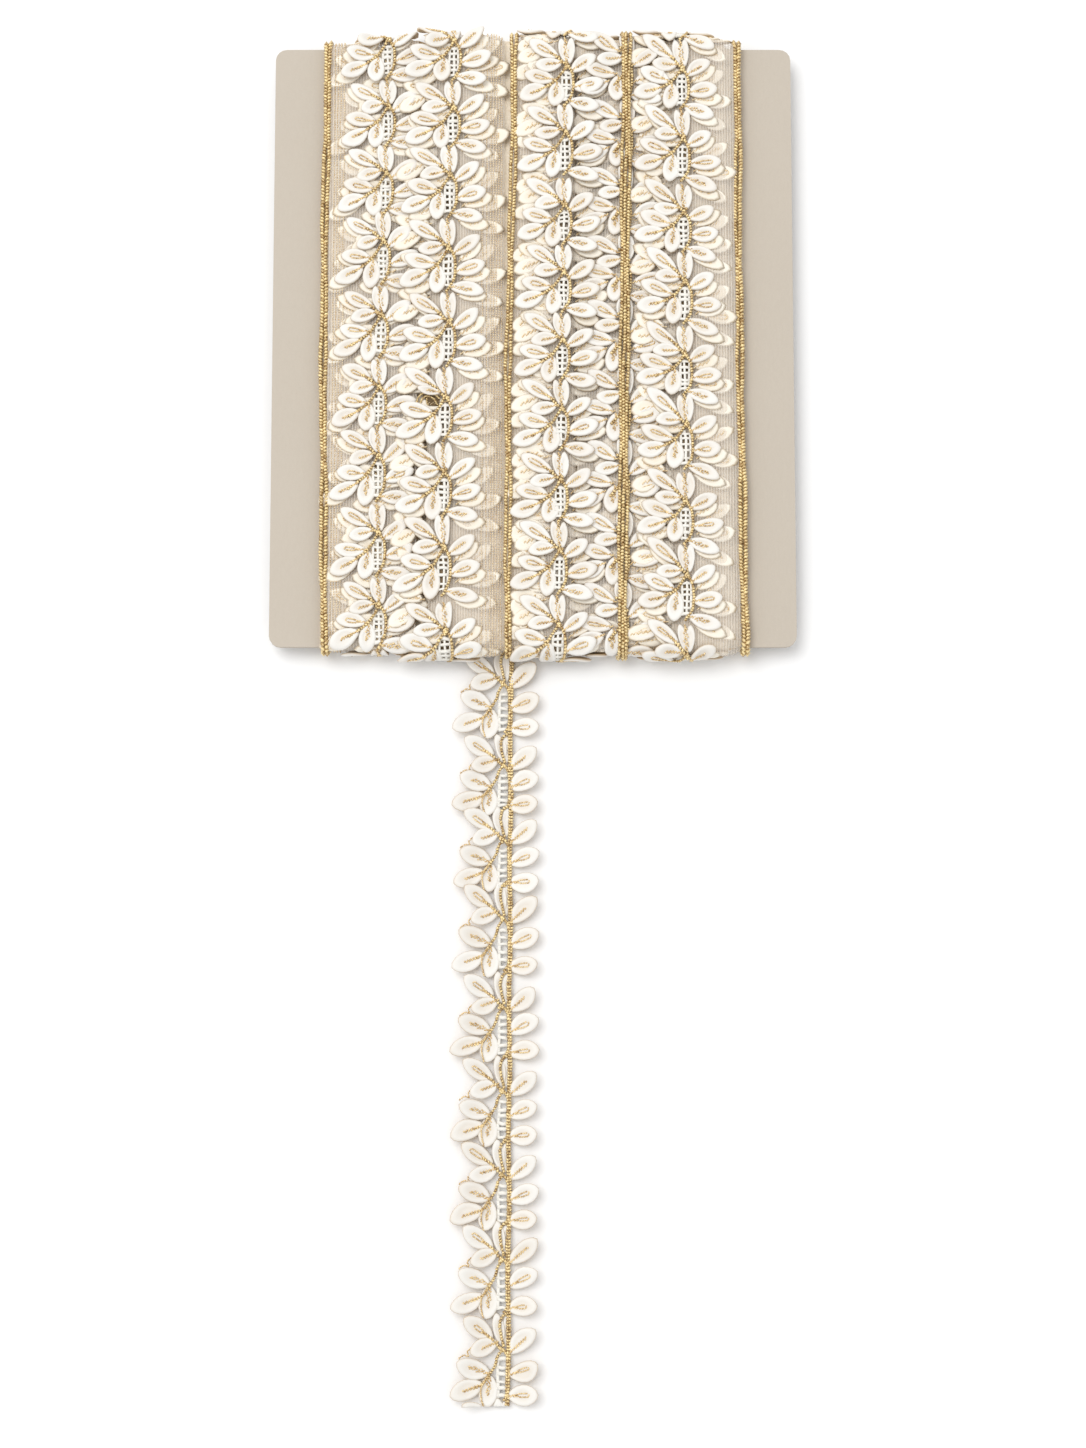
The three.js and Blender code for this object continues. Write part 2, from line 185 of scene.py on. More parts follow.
# Older laps under each lap on top: how far aside and along they lie, how deep, and what shows of them
OLDER_LAPS = table(
    "lap shift sink leaves",
    ("1", (-2.0, -1.6), 1.1, SIDE_LEAVES),
    ("1", (-4.4, -2.8), 1.7, LEFT_LEAVES),
    ("1", (6.6, -13.0), 1.2, SIDE_LEAVES),
    ("2", (2.5, -2.6), 1.1, SIDE_LEAVES),
    ("2", (7.6, -3.6), 2.0, RIGHT_LEAVES),
    ("2", (-3.0, -13.5), 1.5, LEFT_LEAVES),
    ("3", (-1.0, -13.5), 1.2, LEFT_LEAVES),
    ("3", (-1.8, -8.5), 1.5, LEFT_LEAVES),
    ("3", (-1.6, -20.0), 1.6, LEFT_LEAVES),
    ("3", (2.6, -2.2), 2.3, RIGHT_LEAVES),
    ("4", (2.4, -2.6), 1.1, RIGHT_LEAVES),
    ("4", (-4.0, -13.0), 2.0, SIDE_LEAVES),
    ("4", (7.0, -14.5), 1.8, SIDE_LEAVES),
    ("5", (2.0, -2.6), 1.1, SIDE_LEAVES),
    ("5", (6.2, -4.0), 1.8, RIGHT_LEAVES),
    ("5", (-3.0, -13.0), 1.5, LEFT_LEAVES))
OLDER_THICKNESS = 0.9
OLDER_STRAY = 0.7
OLDER_LIFT = 0.7
OLDER_RISE = 0.2
OLDER_SPACING = 1.5
OLDER_PAST = {"bottom": 9, "top": 24}

# The loose end: where its stem forks, and one group of its leaves
LOOSE_X = -12.3
LOOSE_FORKS = [6.8, -25.9, -55.5, -86.9, -121.6, -154.4, -187.0, -219.4, -253.8, -286.4]
LOOSE_START = 19.5
LOOSE_CUT = -275.4
LOOSE_PITCH = 32.6
LOOSE_THICKNESS = 0.85
LOOSE_LIFT = 0.8
LOOSE_STRAY = 0.3
LOOSE_STEM_LIFT = 1.7
LOOSE_THREAD_LIFT = 2.6
LOOSE_LADDER_LIFT = 0.9
LOOSE_LEAVES = table(
    "base tip width lift rise vein",
    ((3.6, -1.0), (13.2, 7.3), 7.5, 1.0, 4.2, "rope"),
    ((3.4, -9.6), (14.1, -5.0), 7.8, 1.0, 4.2, "loop"),
    ((3.0, -17.6), (14.0, -16.6), 7.8, 1.0, 4.2, "loop"),
    ((-3.6, 4.2), (-14.5, 11.9), 7.2, 1.0, 3.6, "loop"),
    ((-1.6, 2.8), (-11.9, -0.8), 6.8, 1.1, 3.6, "rope"),
    ((-4.6, -9.1), (-16.3, -4.6), 7.7, 1.0, 3.6, "full"),
    ((-7.2, -13.2), (-19.0, -17.5), 7.8, 1.1, 3.6, "rope"),
    ((-4.3, -10.0), (-5.8, -21.2), 7.4, 0.5, 1.2, "full"))
LOOSE_PETALS = table(
    "base tip width lift rise",
    ((0.2, 2.0), (-1.7, 13.8), 4.8, 0.6, 0.4),
    ((1.8, 1.4), (1.8, 13.4), 3.6, 0.5, 0.4))
LOOSE_LOOP = [(1.9, 13.7), (0.2, 12.2), (-0.5, 9.4), (-0.1, 6.0), (1.0, 1.6)]
LOOSE_CURL = [(-11.8, 0.6), (-13.0, -0.8), (-12.6, -2.4), (-14.4, -2.0), (-16.2, -3.2)]
LOOSE_STEM = [(0.2, 0.6), (2.0, -1.4), (2.8, -4.0), (3.0, -8.0), (3.0, -14), (2.4, -17.4), (1.2, -19.0)]
LOOSE_BRANCH = [(0.8, 0.2), (-1.3, -2.6), (-2.4, -6.2), (-4.8, -9.9), (-7.6, -13.4), (-13.4, -16.0)]
LOOSE_SIDE_STEM = [(-7, 6.8), (-3.4, 3.9), (-0.4, 0.8), (2.6, -1.2)]
LOOSE_EDGE_THREAD = [(-5.4, -10.6), (-7.5, -14.0), (-7.7, -17.4), (-6.9, -20.9)]
LOOSE_LADDER = {"rails": (-1.1,), "right": 2.6, "first": -4.0, "pitch": 2.75, "count": 5, "bar": 0.8}
LOOSE_CORD = {"x": (-8.7, -9.6), "places": 30, "lift": 1.6, "half_gap": 0.42, "pitch": 1.15, "slant": 0.5}

# Gold cords: places across the block at even steps from top to bottom, height of the surface below,
# places of the strands side by side, and half a strand's thickness
CORD_BEAD = 1.4
CORD_PITCH = 1.3
CORD_SLANT = 0.5
CORD_STEP = 9
SIDE_TURNS = {"out": 0.9, "depths": (1.2, 2.9), "pitch": 1.4, "slant": 0.4}
CORDS = numbered(
    "across bed strands thickness",
    ([-83.2, -84.0, -84.3, -83.6, -82.8], OUTER_HEIGHT, (-0.8, 0.8), 1.15),
    ([-7.6, -8.2, -9.9, -9.9, -9.9], CORD_BED_HEIGHT, (-0.74, 0.74), 1.0),
    ([38.2, 37.4, 36.8, 36.1, 35.6], LOW_HEIGHT + 1.7, (-1.45, -0.1, 1.25), 0.95),
    ([83.1, 82.9, 83.0, 83.6, 84.4], OUTER_HEIGHT, (-0.85, 0.8), 1.25))

# Sheer net of each lap: its edges across the block, and its height
NET_STEP = {"across": 2.6, "along": 2.4}
NETS = numbered(
    "from to height",
    (-82.6, -46.5, LOW_HEIGHT),
    (-41.8, -11.6, HIGH_HEIGHT),
    (-8.2, 17.0, HIGH_HEIGHT),
    (17.6, 54.6, LOW_HEIGHT),
    (55.0, 82.4, HIGH_HEIGHT))

# Dotted gold threads along the bare strips of net: place across, and height
NET_THREADS = [
    (-80.4, LOW_HEIGHT), (-79.2, LOW_HEIGHT), (-78.0, LOW_HEIGHT), (-76.6, LOW_HEIGHT),
    (-20.4, HIGH_HEIGHT), (-18.6, HIGH_HEIGHT), (-17.0, HIGH_HEIGHT), (-15.9, HIGH_HEIGHT - 0.1),
    (-14.8, HIGH_HEIGHT - 0.4), (-13.7, HIGH_HEIGHT - 0.9), (-12.7, HIGH_HEIGHT - 1.5),
]
NET_THREAD_LIFT = 0.25
NET_THREAD_PAST = 8

# Cloth area of a leaf: its share of length by width, and its usual length; groups on the loose end
LEAF_FILL = 0.78
LEAF_LENGTH = 12.5
LOOSE_GROUPS = 9.2

# Look and material slot of each kind of piece on a lap or on the loose end
KINDS = {
    "leaves": ("leaf", "leaf_satin"),
    "veins": ("vein_gold", "gold_thread"),
    "stems": ("gold", "gold_thread"),
    "ladder": ("ladder", "leaf_satin"),
    "ladder_shade": ("shade", "net_ground"),
    "older_leaves": ("older_leaf", "leaf_satin"),
    "older_veins": ("pale_gold", "gold_thread"),
}

# Rings of a padded leaf from its flat back to the dish in its middle, with painted shade strongest on the
# underside and outer edge and faint in the dish
LEAF_RINGS = table(
    "size height warmth",
    (0.9, 0.0, 1.0),
    (1.0, 0.32, 0.85),
    (0.94, 0.78, 0.2),
    (0.79, 1.0, 0.0),
    (0.6, 0.88, 0.1),
    (0.46, 0.62, 0.2),
    (0.2, 0.54, 0.14))
PLAIN_RINGS = [LEAF_RINGS[0], LEAF_RINGS[1], LEAF_RINGS[3], LEAF_RINGS[5], LEAF_RINGS[6]]
rng = np.random.default_rng(11)


def end_reach(end, x, height):
    """How far the wound form stands past the bend of one end."""
    fullness = 1 - np.minimum(1, np.abs(x / HALF_WIDTH)) ** 4
    past = end["sides"] + (end["middle"] - end["sides"]) * fullness
    past = past + np.maximum(0, height - LOW_HEIGHT)
    return past + (end["edge"] - end["bend"]) * end["side"]


def quarter_lengths(end, x, height):
    """Length of the upper and the lower quarter of one end."""
    reach = end_reach(end, x, height)
    upper = math.pi / 4 * (reach + height - CARD_MIDDLE)
    lower = math.pi / 4 * (reach + CARD_MIDDLE - BACK_HEIGHT)
    return upper, lower


def wound(points, height):
    """Places (x, run, lift) on a lap of the given height, as places in space."""
    x, run, lift = points[:, 0], points[:, 1], points[:, 2]
    y = run.copy()
    z = height + lift
    for end in (TOP_END, BOTTOM_END):
        side = end["side"]
        past = (run - end["bend"]) * side
        upper, lower = quarter_lengths(end, x, height)
        turn = np.where(past < upper, past / upper, 1 + (past - upper) / lower) * math.pi / 2
        turn = np.clip(turn, 0, math.pi)
        pressed = lift * (1 - BACK_PRESS * np.clip(turn * 2 / math.pi - 1, 0, 1))
        reach = end_reach(end, x, height) + pressed
        depth = np.where(past < upper, height - CARD_MIDDLE, CARD_MIDDLE - BACK_HEIGHT) + pressed
        on_back = past > upper + lower
        bent_y = end["bend"] + side * reach * np.sin(turn)
        flat_y = end["bend"] - side * (past - upper - lower)
        y = np.where(past > 0, np.where(on_back, flat_y, bent_y), y)
        z = np.where(past > 0, CARD_MIDDLE + depth * np.cos(turn), z)
    return np.stack([x, y, z], axis=1)


def flat(points):
    """Places (x, run, lift) of the loose end, whose leaves hold it a little off the table."""
    return points + (0, 0, LOOSE_LIFT)


def loop_ends(x, height):
    """The runs at which a lap comes round to the middle of the back, lowest and highest."""
    half_back = (TOP_END["bend"] - BOTTOM_END["bend"]) / 2
    return [end["bend"] + end["side"] * (sum(quarter_lengths(end, x, height)) + half_back)
            for end in (BOTTOM_END, TOP_END)]


def within(run, past):
    """Whether a run lies on the front, or past its bends by less than the given lengths."""
    return BOTTOM_END["bend"] - past["bottom"] < run < TOP_END["bend"] + past["top"]


def run_from_y(x, y, height):
    """The run of a place on the front that is seen at y, also where the lap already bends."""
    for end in (TOP_END, BOTTOM_END):
        past = (y - end["bend"]) * end["side"]
        if past > 0:
            upper, _ = quarter_lengths(end, x, height)
            share = min(0.95, past / end_reach(end, x, height))
            return end["bend"] + end["side"] * upper * math.asin(share) / (math.pi / 2)
    return y


class Skin:
    """Corners, four-sided faces and one shade for each corner, gathered for one piece."""

    def __init__(self):
        self.corners, self.faces, self.shades, self.count = [], [], [], 0

    def add(self, corners, faces, shades=None):
        """Takes in corners with faces that count from the first of them."""
        self.corners.append(corners)
        self.faces.append(faces + self.count)
        self.shades.append(np.zeros(len(corners)) if shades is None else shades)
        self.count += len(corners)

    def piece(self, name, material, slot, place):
        """Makes the object, put in space by the given function, and attaches it to the root body."""
        spots = place(np.concatenate(self.corners)) * 0.001
        faces = np.concatenate(self.faces).astype(np.int32)
        mesh = bpy.data.meshes.new(name)
        mesh.vertices.add(len(spots))
        mesh.vertices.foreach_set("co", spots.astype(np.float32).ravel())
        mesh.loops.add(faces.size)
        mesh.loops.foreach_set("vertex_index", faces.ravel())
        mesh.polygons.add(len(faces))
        mesh.polygons.foreach_set("loop_start", np.arange(0, faces.size, 4, dtype=np.int32))
        mesh.polygons.foreach_set("use_smooth", np.ones(len(faces), dtype=bool))
        mesh.update(calc_edges=True)
        shade = mesh.attributes.new("shade", "FLOAT", "POINT")
        shade.data.foreach_set("value", np.concatenate(self.shades).astype(np.float32))
        mesh.materials.append(material)
        made = bpy.data.objects.new(name, mesh)
        bpy.context.scene.collection.objects.link(made)
        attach(made, "root")
        return made


def ring_faces(rings, count, closed_ends=True):
    """Faces of a skin through rings of even corner count."""
    ring, corner = np.meshgrid(np.arange(rings - 1), np.arange(count), indexing="ij")
    a = (ring * count + corner).ravel()
    b = (ring * count + (corner + 1) % count).ravel()
    faces = [np.stack([a, b, b + count, a + count], axis=1)]
    if closed_ends:
        half = np.arange(count // 2 - 1)
        cap = np.stack([half, count - 1 - half, count - 2 - half, half + 1], axis=1)
        faces.append(cap)
        faces.append(cap[:, ::-1] + (rings - 1) * count)
    return np.concatenate(faces)


def leaf_template(rings, sides):
    """Corners of a leaf of length and half width 1 as (ahead, aside, height, painted edge shade), and faces.
    """
    turn = np.arange(sides) * 2 * math.pi / sides
    x = np.cos(turn)
    ahead = x + 0.09 * np.maximum(0, x) ** 8 - 0.1 * np.maximum(0, -x) ** 6
    aside = np.sin(turn) * (1 + 0.08 * x) * (1 - 0.04 * x ** 2)
    corners = []
    for ring in rings:
        size = ring["size"]
        middle = 0.5 - 0.07 * (1 - size)
        rows = [middle + 0.5 * ahead * size, aside * size]
        rows += [np.full(sides, ring["height"]), np.full(sides, ring["warmth"])]
        corners.append(np.column_stack(rows))
    return np.concatenate(corners), ring_faces(len(rings), sides)


FINE_LEAF = leaf_template(LEAF_RINGS, 16)
PLAIN_LEAF = leaf_template(PLAIN_RINGS, 12)


def leaf_frame(leaf, spot):
    """Base, unit direction along, unit direction across, and length of a placed leaf.

    A spot is the fork of a group on its lap, and how much the group is stretched along the lap.
    """
    origin, stretch = spot
    base = np.array([leaf["base"][0], leaf["base"][1] * stretch]) + origin
    tip = np.array([leaf["tip"][0], leaf["tip"][1] * stretch]) + origin
    length = np.linalg.norm(tip - base)
    along = (tip - base) / length
    return base, along, np.array([-along[1], along[0]]), length


def add_leaf(skin, leaf, spot, thickness, template):
    """One padded leaf, a little different from the others."""
    corners, faces = template
    base, along, aside, length = leaf_frame(leaf, spot)
    ahead, sideways, height, warmth = corners.T
    bow = rng.normal(0, 0.3)
    roll = rng.normal(0, 0.12)
    width = leaf["width"] * rng.uniform(0.98, 1.08) / 2
    spots = base + np.outer(ahead * length, along)
    spots = spots + np.outer(sideways * width + bow * np.sin(math.pi * ahead), aside)
    slope = leaf["rise"] * np.clip(ahead, 0, 1) ** 1.5 + roll * sideways
    lift = leaf["lift"] + slope + thickness * height
    # Shade of each corner: the painted edge shade of its ring, plus a random tone for each leaf
    skin.add(np.column_stack([spots, lift]), faces, warmth * 0.8 + rng.uniform(0, 0.2))


def bead_template(length, radius, rings=3):
    """Corners, faces and painted highlight of one short bead of thread along X, bright in its middle and
    painted shade at its ends.
    """
    profile = ((-0.5, 0.4), (0, 1), (0.5, 0.4)) if rings == 3 else ((-0.42, 0.8), (0.42, 0.8))
    turn = np.arange(4) * math.pi / 2
    corners = [np.column_stack([np.full(4, x * length), np.cos(turn) * radius * size,
                                np.sin(turn) * radius * size]) for x, size in profile]
    # Painted highlight: bright in the middle of each bead, painted shade at its ends
    painted_bead_highlight = np.repeat([0, 1, 0] if rings == 3 else [0.9, 0.5], 4)
    return np.concatenate(corners), ring_faces(rings, 4), painted_bead_highlight


def add_beads(skin, centres, headings, bead):
    """Beads of thread at places (x, run, lift), each turned to its heading in the surface."""
    corners, faces, painted_bead_highlight = bead
    cos, sin = np.cos(headings)[:, None], np.sin(headings)[:, None]
    x = centres[:, 0:1] + cos * corners[:, 0] - sin * corners[:, 1]
    run = centres[:, 1:2] + sin * corners[:, 0] + cos * corners[:, 1]
    lift = centres[:, 2:3] + corners[:, 2] + np.zeros_like(x)
    steps = np.arange(len(centres))[:, None, None] * len(corners)
    # Painted highlight and shade of each bead, scaled by a random tone for each bead
    shade = (rng.uniform(0.2, 1, len(centres))[:, None] * painted_bead_highlight).ravel()
    skin.add(np.stack([x, run, lift], axis=2).reshape(-1, 3), (faces[None] + steps).reshape(-1, 4), shade)


def add_rope(skin, points, bead, pitch, slant, offset=0.0):
    """A twisted thread: slanted beads that follow each other along a smooth path."""
    path = smooth_path(points, pitch)
    ahead = np.gradient(path, axis=0)
    heading = np.arctan2(ahead[:, 1], ahead[:, 0])
    side = np.column_stack([-np.sin(heading), np.cos(heading), np.zeros(len(path))])
    path = path + offset * side + rng.normal(0, 0.05, path.shape)
    add_beads(skin, path, heading + slant + rng.normal(0, 0.08, len(path)), bead)


def rope_vein(length, spacing):
    """Stitches of a narrow twisted vein: ahead, aside and heading."""
    ahead = np.arange(-0.04, rng.uniform(0.6, 0.68), spacing * 0.62 / length) * length
    aside = np.where(np.arange(len(ahead)) % 2, 0.24, -0.24) * np.clip(ahead / length * 4 + 0.4, 0.4, 1)
    return ahead, aside, np.full(len(ahead), 0.5)


def loop_vein(length, spacing):
    """Stitches of a long open loop with a twisted root."""
    gap = rng.uniform(0.55, 0.8)
    root = np.arange(-0.04 * length, 0.2 * length, spacing * 0.7)
    going = np.arange(0.2 * length, rng.uniform(0.62, 0.7) * length, spacing)
    taper = np.clip((going / length - 0.2) / 0.2, 0.3, 1)
    ahead = np.concatenate([root, going, going + 0.3, going[-1:] + 0.9])
    aside = np.concatenate([np.where(np.arange(len(root)) % 2, 0.2, -0.2), gap * taper, -gap * taper, [0]])
    heading = np.concatenate([np.full(len(root), 0.5), np.full(2 * len(going), 0.08), [math.pi / 2]])
    return ahead, aside, heading


def full_vein(length, spacing):
    """Stitches of a loop filled with small stitches."""
    spots = np.arange(0.02 * length, 0.64 * length, spacing * 0.52)
    breadth = 0.75 * np.sin(np.clip(spots / length / 0.68, 0, 1) * math.pi) ** 0.6
    aside = breadth * np.array([-1, 0.6, -0.2, 1, -0.6, 0.2])[np.arange(len(spots)) % 6]
    return spots, aside, rng.normal(0.3, 0.5, len(spots))


VEIN_KINDS = {"rope": rope_vein, "loop": loop_vein, "full": full_vein}


def add_vein(skin, leaf, spot, thickness, bead, spacing):
    """The gold vein of a leaf, from its base to past its middle, lying in the dish."""
    base, along, aside, length = leaf_frame(leaf, spot)
    ahead, sideways, heading = VEIN_KINDS[leaf["vein"]](length, spacing)
    share = np.clip(ahead / length, 0, 1)
    sunk = 0.6 + 0.36 * np.exp(-(share / 0.13) ** 2)
    lift = leaf["lift"] + leaf["rise"] * share ** 1.5 + thickness * sunk + VEIN_LIFT
    places = base + np.outer(ahead, along) + np.outer(sideways, aside)
    headings = heading + math.atan2(along[1], along[0])
    add_beads(skin, np.column_stack([places, lift]), headings, bead)


def smooth_path(points, step):
    """A smooth curve through control points, resampled at even steps."""
    control = np.asarray(points, float)
    padded = np.vstack([2 * control[0] - control[1], control, 2 * control[-1] - control[-2]])
    share = np.linspace(0, 1, 8, endpoint=False)[:, None]
    bits = []
    for i in range(1, len(padded) - 2):
        p, q, r, s = padded[i - 1:i + 3]
        bits.append(0.5 * (2 * q + (r - p) * share + (2 * p - 5 * q + 4 * r - s) * share ** 2
                           + (3 * q - p - 3 * r + s) * share ** 3))
    curve = np.vstack([*bits, control[-1:]])
    lengths = np.concatenate([[0], np.cumsum(np.linalg.norm(np.diff(curve, axis=0), axis=1))])
    spots = np.linspace(0, lengths[-1], max(3, int(lengths[-1] / step)))
    return np.column_stack([np.interp(spots, lengths, curve[:, k]) for k in range(3)])


def add_tube(skin, path, radius):
    """A square thread of even thickness along a path of (x, run, lift)."""
    ahead = np.gradient(path, axis=0)
    ahead /= np.linalg.norm(ahead, axis=1)[:, None] + 1e-9
    level = np.column_stack([-ahead[:, 1], ahead[:, 0], np.zeros(len(path))])
    level /= np.linalg.norm(level, axis=1)[:, None] + 1e-9
    upright = np.cross(ahead, level)
    turn = np.arange(4) * math.pi / 2 + math.pi / 4
    cos, sin = np.cos(turn)[None, :, None], np.sin(turn)[None, :, None]
    offset = radius * (cos * level[:, None] + sin * upright[:, None])
    skin.add((path[:, None] + offset).reshape(-1, 3), ring_faces(len(path), 4))


def add_ladder(skin, shade_skin, ladder, spot, lift):
    """White rungs and rails with small holes between them, and the strip of painted shade below them."""
    origin, stretch = spot
    first = ladder["first"] * stretch
    last = first - ladder["pitch"] * ladder["count"] * stretch
    left, right = ladder["rails"][0], ladder["right"]
    for rail in ladder["rails"]:
        ends = [(origin[0] + rail + rng.normal(0, 0.2), origin[1] + y, lift)
                for y in (first + 0.8, first * 0.7 + last * 0.3, first * 0.3 + last * 0.7, last - 0.6)]
        add_tube(skin, smooth_path(ends, 2.4), ladder["bar"] * rng.uniform(0.9, 1.15))
    for i in range(ladder["count"] + 1):
        y = origin[1] + first - i * ladder["pitch"] * stretch + rng.normal(0, 0.2)
        spread = [(origin[0] + x, y + rng.normal(0, 0.25), lift + 0.1) for x in
                  (left - 0.4, (left + right) / 2, right)]
        add_tube(skin, smooth_path(spread, 2.2), ladder["bar"] * rng.uniform(0.85, 1.35))
    if shade_skin is not None:
        add_ladder_shade(shade_skin, origin, (left, right), (first, last))


def add_ladder_shade(skin, origin, sides, ends):
    """A dark strip of painted shade just above the net, seen through the holes, narrower beside the lower
    part of a ladder.
    """
    ys = np.linspace(ends[0] + 0.6, ends[1], 7)
    rights = np.where(np.arange(7) < 3, sides[1] - 0.4, sides[0] + 2.2)
    corners = [(origin[0] + x, origin[1] + y, 0.12)
               for y, right in zip(ys, rights) for x in (sides[0], right)]
    step = np.arange(6)[:, None] * 2
    # One random depth of painted shade for each strip
    skin.add(np.array(corners), np.array([[0, 2, 3, 1]]) + step, np.full(14, rng.uniform(0, 1)))


def lap_forks(vine):
    """Forks of a lap all the way round the card: those of the front, then even ones on the back."""
    height = vine["height"]
    forks = [(x, run_from_y(x, y, height)) for x, y in vine["forks"]]
    lowest, highest = loop_ends(forks[-1][0], height)
    loop = highest - lowest
    left_over = loop - (forks[0][1] - forks[-1][1])
    count = round(left_over / USUAL_PITCH)
    pitch = left_over / count
    back = []
    for i in range(1, count):
        x = forks[-1][0] + (forks[0][0] - forks[-1][0]) * (i / count)
        run = forks[-1][1] - i * pitch
        back.append((x, run if run > lowest else run + loop, pitch))
    pitches = [forks[i][1] - forks[i + 1][1] for i in range(len(forks) - 1)] + [pitch]
    return [(*fork, gap) for fork, gap in zip(forks, pitches)] + back


def sheared(points, shear):
    """Places beside a stem, moved along it by a share of how far aside they are."""
    points = np.array(points, float)
    return points + np.outer(points[:, 0], (0, shear))


def jitter(leaf, amount, reach=(1, 1), shear=0.0):
    """The same leaf, its tip a little aside, and longer or shorter on its side of the stem."""
    base, tip = sheared((leaf["base"], leaf["tip"]), shear)
    scale = reach[1] if tip[0] > 0 else reach[0]
    tip = base + (tip - base) * (scale, 1) + rng.normal(0, amount, 2)
    return {**leaf, "base": base, "tip": tip, "lift": leaf["lift"] + rng.normal(0, 0.08)}


def lifted(points, spot, lift):
    """Places (x, run, lift) of a path beside the fork of a group."""
    origin, stretch = spot
    return [(origin[0] + x, origin[1] + y * stretch, lift) for x, y in points]


FINE_STITCH = bead_template(0.95, 0.36, 2)
PLAIN_STITCH = bead_template(1.25, 0.36, 2)
STEM_BEAD = bead_template(1.2, 0.76)
PLAIN_STEM_BEAD = bead_template(1.9, 0.75, 2)
NET_STITCH = bead_template(0.62, 0.26, 2)
FINE_STEM = {"bead": STEM_BEAD, "pitch": 1.06, "slant": 0.55}
PLAIN_STEM = {"bead": PLAIN_STEM_BEAD, "pitch": 1.35, "slant": 0.55}
EDGE_THREAD = {"bead": FINE_STITCH, "pitch": 0.7, "slant": 0.4}
BENT_THREAD = {"bead": PLAIN_STITCH, "pitch": 0.7, "slant": 0.5}


def add_stems(skin, paths, spot, lift, fine):
    """The gold stems of one group, and the knot where they meet."""
    thread = FINE_STEM if fine else PLAIN_STEM
    for i, path in enumerate(paths):
        add_rope(skin, lifted(path, spot, lift + 0.15 * i), **thread)
    knot = np.array([(*spot[0], lift + 0.45)]) + rng.normal(0, 0.5, (4, 3)) * (1, 1, 0.1)
    add_beads(skin, knot, rng.uniform(-2.4, -0.8, 4), thread["bead"])


def add_group(skins, number, vine, group, fork, paths):
    """Leaves, petals, veins, stems and ladder of one group on a lap."""
    x, run, pitch = fork
    spot = np.array([x, run]), pitch / USUAL_PITCH
    fine = within(run, FINE_PAST)
    stitch, spacing = (FINE_STITCH, FINE_SPACING) if fine else (PLAIN_STITCH, PLAIN_SPACING)
    template = FINE_LEAF if fine else PLAIN_LEAF
    for place, usual in enumerate(WOUND_LEAVES):
        folded = (number, group, place) == FOLDED_PLACE
        leaf = jitter(FOLDED_LEAF if folded else usual, LEAF_STRAY, vine["reach"], vine["shear"])
        leaf["rise"] += EDGE_RISE if EDGE_BAND[0] < run - TOP_END["bend"] < EDGE_BAND[1] else 0
        add_leaf(skins["leaves"], leaf, spot, LEAF_THICKNESS, template)
        add_vein(skins["veins"], leaf, spot, LEAF_THICKNESS, stitch, spacing)
    for petal in WOUND_PETALS:
        add_leaf(skins["leaves"], jitter(petal, PETAL_STRAY), spot, PETAL_THICKNESS, template)
    add_vein(skins["veins"], PETAL_VEIN, spot, PETAL_THICKNESS, stitch, spacing)
    add_stems(skins["stems"], paths, spot, STEM_LIFT, fine)
    if (number, group) == FOLDED_PLACE[:2]:
        add_torn_gap(skins, spot)
    if number != WITHOUT_LADDER:
        add_ladder(skins["ladder"], skins["ladder_shade"], WOUND_LADDER, spot, LADDER_LIFT)


def add_torn_gap(skins, spot):
    """A sheet of painted shade in the gap below the folded leaf, with bent threads across it."""
    corners = np.array(lifted(FOLDED_GAP_SHADE, spot, FOLDED_SHADE_LIFT))
    # Darkest painted shade over the bare ground below the folded leaf
    skins["ladder_shade"].add(corners, np.array([[0, 1, 2, 3]]), np.zeros(4))
    for path in FOLDED_THREADS:
        add_rope(skins["stems"], lifted(path, spot, FOLDED_THREAD_LIFT), **BENT_THREAD)


def dressed(prefix, skins, looks, place):
    """The pieces of a lap or of the loose end, by kind, each with its look."""
    pieces = {}
    for kind, skin in skins.items():
        if not skin.count:
            continue
        look, slot = KINDS[kind]
        pieces[kind] = skin.piece(f"{prefix}_{kind}", looks[look], slot, place)
    return pieces


def build_vine(number, vine, looks):
    """Leaves, veins, stems and ladders of one lap."""
    skins = {kind: Skin() for kind in ("leaves", "veins", "stems", "ladder", "ladder_shade")}
    narrow = np.array([vine["slack"], 1])
    paths = [sheared(path, vine["shear"]) * narrow for path in (WOUND_STEM, WOUND_BRANCH, WOUND_SIDE_STEM)]
    for group, fork in enumerate(lap_forks(vine)):
        add_group(skins, number, vine, group, fork, paths)
    pieces = dressed(f"lap_{number}", skins, looks, lambda points: wound(points, vine["height"]))
    leaves = pieces.pop("leaves")
    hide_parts(f"leaf_vine_{number}")
    return leaves, list(pieces.values())


def build_older_laps(number, vine, looks):
    """Leaves of older laps that show beside the lap on top and through its net."""
    skins = {kind: Skin() for kind in ("older_leaves", "older_veins")}
    for older in [row for row in OLDER_LAPS if row["lap"] == number]:
        low = {"lift": OLDER_LIFT - older["sink"], "rise": OLDER_RISE}
        for x, run, pitch in lap_forks(vine):
            if not within(run, OLDER_PAST):
                continue
            spot = np.array([x, run]) + older["shift"], pitch / USUAL_PITCH
            for usual in older["leaves"]:
                leaf = {**jitter(usual, OLDER_STRAY, vine["reach"], vine["shear"]), **low}
                add_leaf(skins["older_leaves"], leaf, spot, OLDER_THICKNESS, PLAIN_LEAF)
                add_vein(skins["older_veins"], leaf, spot, OLDER_THICKNESS,
                         PLAIN_STITCH, OLDER_SPACING)
    dressed(f"lap_{number}", skins, looks, lambda points: wound(points, vine["height"]))


